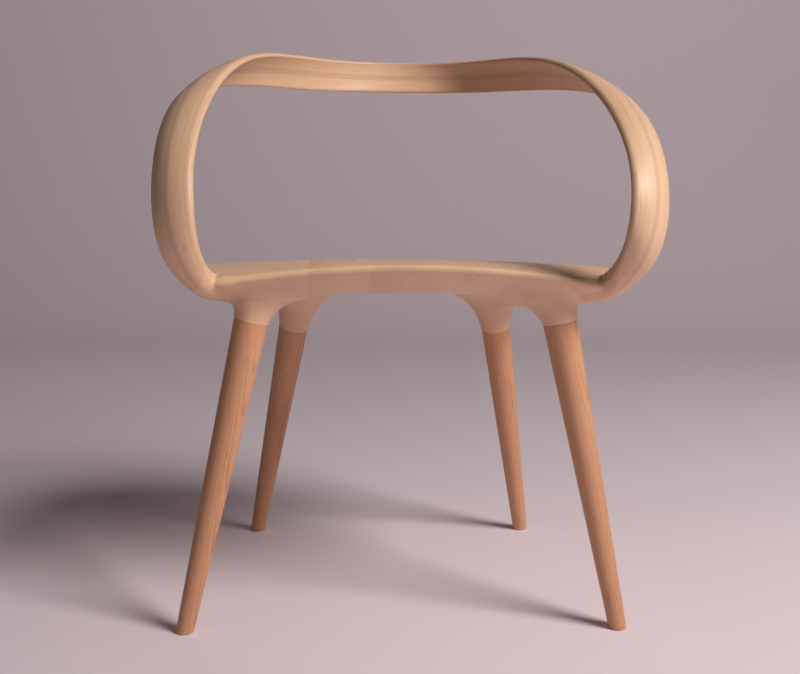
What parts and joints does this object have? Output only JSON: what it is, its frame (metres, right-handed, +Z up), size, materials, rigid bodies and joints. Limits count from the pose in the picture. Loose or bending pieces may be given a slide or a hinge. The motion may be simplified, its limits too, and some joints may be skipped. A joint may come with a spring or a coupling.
{
  "type": "armchair",
  "caption": "Wooden armchair with a carved solid seat on splayed turned legs and one twisted bent band as arms and backrest.",
  "frame": {"origin": "on the floor, under the middle of the whole chair", "axes": "+Z up, -Y towards the front of the chair, +X to the right of a viewer who looks at the front"},
  "size_m": [0.5558, 0.5348, 0.7074],
  "materials": {
    "maple": "satin",
    "leg_wood": "satin",
    "dowel_wood": "satin"
  },
  "bodies": {
    "root": {"band_dowels_left": "dowel_wood", "band_dowels_right": "dowel_wood", "band_ply_1": "maple", "band_ply_2": "maple", "band_ply_3": "maple", "band_ply_4": "maple", "band_ply_5": "maple", "leg_back_left": "leg_wood", "leg_back_right": "leg_wood", "leg_block_back_left": "maple", "leg_block_back_right": "maple", "leg_block_front_left": "maple", "leg_block_front_right": "maple", "leg_front_left": "leg_wood", "leg_front_right": "leg_wood", "seat_board_1": "maple", "seat_board_2": "maple", "seat_board_3": "maple", "seat_board_4": "maple", "seat_board_5": "maple"}
  },
  "joints": []
}
